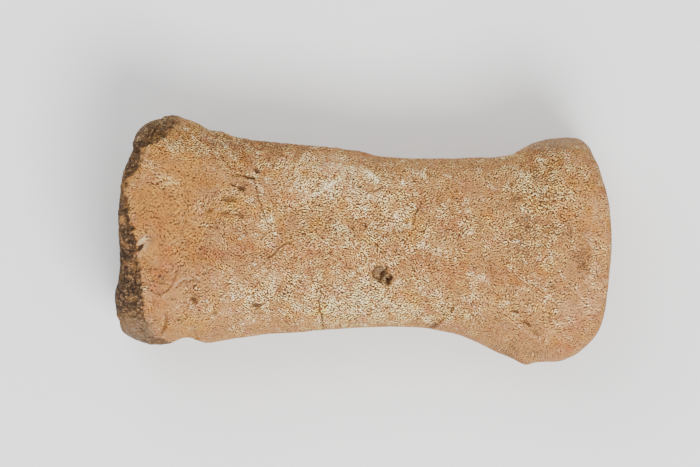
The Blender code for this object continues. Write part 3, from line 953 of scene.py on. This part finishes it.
# The bone's colours from its deepest pores to its palest fibres, by place on a scale from 0 to 1.
BONE_COLOURS = (
    (0.00, (0.050, 0.018, 0.005)),
    (0.18, (0.115, 0.048, 0.014)),
    (0.34, (0.200, 0.090, 0.030)),
    (0.48, (0.292, 0.135, 0.046)),
    (0.62, (0.385, 0.188, 0.062)),
    (0.76, (0.495, 0.270, 0.086)),
    (0.90, (0.650, 0.440, 0.142)),
    (1.00, (0.840, 0.690, 0.300)),
)
OCHRE_TINT = (0.98, 0.88, 0.56, 1)
PINK_TINT = (0.94, 0.79, 0.88, 1)
CREAM_AND_RIM_LIGHT_TINT = (1.00, 1.02, 1.28, 1)
RUST_TINT = (0.99, 0.88, 0.80, 1)
STAIN_AND_EDGE_SHADE_COLOUR = (0.095, 0.048, 0.022, 1)
GREY_COLOUR = (0.200, 0.145, 0.095, 1)
PALE_COLOUR = (0.86, 0.80, 0.50, 1)
FLECK_COLOUR = (0.88, 0.82, 0.60, 1)
DARK_COLOUR = (0.070, 0.028, 0.009, 1)
BLACK_COLOUR = (0.012, 0.005, 0.002, 1)
CRUST_COLOURS = (
    (0.42, (0.006, 0.003, 0.002)),
    (0.50, (0.028, 0.015, 0.008)),
    (0.57, (0.098, 0.055, 0.028)),
    (0.66, (0.340, 0.198, 0.090)),
)


def bone_material():
    material = bpy.data.materials.new("fossil_bone")
    material.use_nodes = True
    n = Nodes(material.node_tree)
    place = n.add("ShaderNodeTexCoord", {}).outputs["Object"]
    fibres, coarse = n.mask("fibres"), n.mask("coarse")
    crust, rock, dark = n.mask("crust"), n.mask("rock"), n.mask("dark")

    # Fibres: a fine directional grain, about 1 either side of 0.
    laid_flat = n.add("ShaderNodeAttribute", {}, attribute_name="bone_laid_flat").outputs["Vector"]
    drift = n.noise(place, 1.2, 1.0, output="Color")
    inputs = {0: drift, 1: (0.75, 0.75, 0.0), 2: laid_flat}
    crooked = n.add("ShaderNodeVectorMath", inputs, operation="MULTIPLY_ADD").outputs[0]
    grain = n.add(
        "ShaderNodeTexGabor",
        {
            "Vector": crooked,
            "Scale": 1.0,
            "Frequency": n.span(coarse, 0.0, 1.0, 1.75, 1.05),
            "Anisotropy": 0.45,
            "Orientation 2D": n.mask("across"),
        },
        gabor_type="2D",
    ).outputs["Value"]
    fine = n.math("MULTIPLY_ADD", grain, 12.0, -6.0)
    speck = n.math("MULTIPLY_ADD", n.noise(place, 0.34, 1.0, 0.5), 7.0, -3.5)
    mottle = n.noise(place, 2.2, 4.0, 0.65)
    blotch = n.math("MULTIPLY_ADD", mottle, 7.0, -3.5)
    cloud = n.noise(place, 8.0, 3.0, 0.5)

    dashes = n.math("MULTIPLY", fine, n.span(n.noise(place, 0.95, 1.0), 0.3, 0.7, 0.10, 1.05))
    grain = n.math("MULTIPLY_ADD", speck, 1.18, dashes)
    grain = n.math("MULTIPLY", grain, n.math("MULTIPLY_ADD", grain, -0.14, 1.0))
    grain = n.math("MULTIPLY", grain, n.span(n.noise(place, 3.1, 2.0), 0.34, 0.66, 0.60, 1.40))
    ochre = n.patchy(n.mask("ochre"), place, 4.6)
    pink = n.patchy(n.mask("pink"), place, 3.7)
    # Cream patches, and on the rear rim painted light.
    cream_and_rim_light = n.patchy(n.mask("cream_and_rim_light"), place, 2.6, 4.2)
    cream_and_rim_light = n.math("MULTIPLY", cream_and_rim_light, n.math("MULTIPLY_ADD", ochre, -0.85, 1.0))
    rust = n.patchy(n.mask("rust"), place, 2.4, 3.0)
    strength = n.math("MULTIPLY", fibres, n.span(cloud, 0.35, 0.65, 0.42, 0.51))
    strength = n.math("MULTIPLY_ADD", n.mask("stain_and_edge_shade"), 0.13, strength)
    # The palest threads show only where the bone is cream.
    threads = n.math("MULTIPLY", n.math("MAXIMUM", grain, 0.0), n.math("MULTIPLY_ADD", cream_and_rim_light, 0.40, -0.40))
    grain = n.math("ADD", grain, threads)
    level = n.math("MULTIPLY_ADD", grain, strength, 0.585)
    level = n.math("MULTIPLY_ADD", blotch, 0.035, level)
    level = n.math("MULTIPLY_ADD", n.math("SUBTRACT", cloud, 0.5), 0.24, level)
    level = n.math("MULTIPLY_ADD", cream_and_rim_light, 0.060, level)
    level = n.math("MULTIPLY_ADD", rust, -0.060, level)
    level = n.math("MULTIPLY_ADD", ochre, 0.02, level)
    level = n.math("MULTIPLY_ADD", n.mask("stain_and_edge_shade"), -0.16, level)
    level = n.math("MULTIPLY_ADD", n.mask("pale"), 0.25, level)
    # Fine wriggling furrows all over, and hairline cracks where there are any.
    wriggle = n.math("ABSOLUTE", n.math("SUBTRACT", n.noise(place, 1.0, 1.0), 0.5))
    furrows = n.span(wriggle, 0.0, 0.045, 1.0, 0.0)
    furrows = n.math("MULTIPLY", furrows, n.span(n.noise(place, 1.9, 1.0), 0.42, 0.62))
    level = n.math("MULTIPLY_ADD", furrows, -0.13, level)
    bend = n.math("ABSOLUTE", n.math("SUBTRACT", n.noise(place, 2.4, 2.0), 0.5))
    hairlines = n.span(bend, 0.0, 0.016, 1.0, 0.0)
    hairlines = n.math("MULTIPLY", hairlines, n.span(n.noise(place, 3.3, 2.0), 0.50, 0.60))
    level = n.math("MULTIPLY_ADD", hairlines, n.math("MULTIPLY", fibres, -0.35), level)
    colour = n.ramp(level, BONE_COLOURS)
    colour = n.mix(ochre, colour, OCHRE_TINT, "MULTIPLY")
    colour = n.mix(pink, colour, PINK_TINT, "MULTIPLY")
    colour = n.mix(cream_and_rim_light, colour, CREAM_AND_RIM_LIGHT_TINT, "MULTIPLY")
    colour = n.mix(rust, colour, RUST_TINT, "MULTIPLY")
    # Stains, and along the top edge painted shade.
    stain_and_edge_shade = n.patchy(n.mask("stain_and_edge_shade"), place, 1.6, 3.0)
    stain_and_edge_shade = n.math("MULTIPLY", stain_and_edge_shade, n.span(grain, -1.3, 0.8, 0.95, 0.10))
    colour = n.mix(stain_and_edge_shade, colour, STAIN_AND_EDGE_SHADE_COLOUR)
    pale = n.math("MULTIPLY", n.mask("pale"), n.span(grain, -0.9, 0.9, 0.05, 0.90))
    colour = n.mix(pale, colour, PALE_COLOUR)
    chosen = n.math("MULTIPLY", n.span(fibres, 0.3, 0.7), n.math("MULTIPLY_ADD", cream_and_rim_light, 0.85, 0.15))
    flecks = n.math("MULTIPLY", n.span(n.noise(place, 1.05, 2.0), 0.66, 0.72), chosen)
    colour = n.mix(flecks, colour, FLECK_COLOUR)

    coarse_grain = n.noise(place, 0.85, 4.0, 0.75, 0.3)
    crust_colour = n.ramp(coarse_grain, CRUST_COLOURS)
    colour = n.mix(n.math("MULTIPLY", crust, 0.94), colour, crust_colour)
    rock_colour = n.ramp(n.math("MULTIPLY_ADD", coarse_grain, 0.8, 0.05), CRUST_COLOURS)
    colour = n.mix(n.math("MULTIPLY", rock, 0.8), colour, rock_colour)
    grey = n.math("MULTIPLY", n.mask("grey"), n.span(coarse_grain, 0.44, 0.56, 0.10, 0.95))
    colour = n.mix(grey, colour, GREY_COLOUR)
    # The dark mask: pores, cracks and dark mineral, and painted shade in the vessel holes and along the scars.
    # Past 0.9 it goes towards black.
    colour = n.mix(n.math("MULTIPLY", dark, 0.92, clamp=True), colour, DARK_COLOUR)
    colour = n.mix(n.span(dark, 0.9, 1.9, 0.0, 0.9), colour, BLACK_COLOUR)

    height = n.math("MULTIPLY", coarse_grain, n.math("MULTIPLY_ADD", crust, 0.45, 0.12))
    height = n.math("MULTIPLY_ADD", speck, 0.010, height)
    bump = n.add("ShaderNodeBump", {"Height": height, "Distance": MM, "Strength": 1.0}).outputs[0]
    roughness = n.span(mottle, 0.3, 0.7, 0.72, 0.92)

    shader = n.add(
        "ShaderNodeBsdfPrincipled",
        {"Base Color": colour, "Roughness": roughness, "Normal": bump, "Specular IOR Level": 0.25},
    )
    n.add("ShaderNodeOutputMaterial", {"Surface": shader.outputs[0]})
    return material


def make_bone():
    grid, kinds = rings()
    outward = outward_from(grid)
    grid, rock = solid_lumps(grid, outward)
    low, high = grid.min((0, 1)), grid.max((0, 1))
    shift = np.array([-(low[0] + high[0]) / 2, -(low[1] + high[1]) / 2, -REST_LEVEL])
    outward = outward_from(grid)
    flat = unrolled(grid, kinds)
    relief, masks = wear(grid, outward, kinds, rock)
    grid = grid + outward * relief[..., None]
    grid[..., 2] = np.maximum(grid[..., 2], REST_LEVEL)
    mesh = fine_mesh(grid, kinds, shift, masks, flat)
    mesh.materials.append(bone_material())
    bone = bpy.data.objects.new("fossil_bone", mesh)
    bpy.context.scene.collection.objects.link(bone)
    return bone, shift


# The picture: its width and its centre at the height of the bone's axis, and how much that axis slopes in it.
PICTURE_WIDTH = 171.8
PICTURE_CENTRE = (-3.13, 1.62)
AXIS_SLOPE = 2.75
CAMERA_HEIGHT = 2200.0
SENSOR_WIDTH = 36.0


def make_camera(shift):
    data = bpy.data.cameras.new("camera")
    data.sensor_width = SENSOR_WIDTH
    data.lens = SENSOR_WIDTH * CAMERA_HEIGHT / PICTURE_WIDTH
    data.clip_start = 0.01
    camera = bpy.data.objects.new("camera", data)
    bpy.context.scene.collection.objects.link(camera)
    place = (PICTURE_CENTRE[0] + shift[0], PICTURE_CENTRE[1] + shift[1], CAMERA_HEIGHT + shift[2])
    camera.location = Vector(place) * MM
    camera.rotation_euler = (0, 0, math.radians(AXIS_SLOPE))
    bpy.context.scene.camera = camera


# Each light's place and width in metres, and its power in watts.
KEY = ((0.22, -0.42, 0.75), 0.5, 11.1)
FILL = ((-0.30, 0.38, 0.8), 0.7, 4.9)
FLOOR_SIZE = 6


def area_light(name, place, size, power):
    data = bpy.data.lights.new(name, "AREA")
    data.shape = "DISK"
    data.size = size
    data.energy = power
    light = bpy.data.objects.new(name, data)
    light.location = place
    light.rotation_euler = (-Vector(place)).to_track_quat("-Z", "Y").to_euler()
    bpy.context.scene.collection.objects.link(light)


def make_studio():
    bpy.ops.mesh.primitive_plane_add(size=FLOOR_SIZE)
    floor = bpy.context.object
    floor.name = "floor"
    material = bpy.data.materials.new("pale_floor")
    material.use_nodes = True
    shader = material.node_tree.nodes["Principled BSDF"]
    shader.inputs["Base Color"].default_value = (0.9, 0.9, 0.9, 1)
    shader.inputs["Roughness"].default_value = 0.9
    shader.inputs["Specular IOR Level"].default_value = 0.1
    floor.data.materials.append(material)

    world = bpy.data.worlds.new("studio")
    world.use_nodes = True
    world.node_tree.nodes["Background"].inputs["Color"].default_value = (1, 1, 1, 1)
    world.node_tree.nodes["Background"].inputs["Strength"].default_value = 0.79
    bpy.context.scene.world = world
    area_light("key", *KEY)
    area_light("fill", *FILL)


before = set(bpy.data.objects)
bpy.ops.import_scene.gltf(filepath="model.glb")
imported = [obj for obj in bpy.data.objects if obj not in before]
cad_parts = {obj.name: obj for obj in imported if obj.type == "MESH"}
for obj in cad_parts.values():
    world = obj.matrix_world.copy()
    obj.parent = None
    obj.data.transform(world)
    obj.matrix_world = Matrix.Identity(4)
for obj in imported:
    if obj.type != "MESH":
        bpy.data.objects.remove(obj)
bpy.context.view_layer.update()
bone, shift = make_bone()
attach(bone, "root")
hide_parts("tail_vertebra")
make_camera(shift)
make_studio()
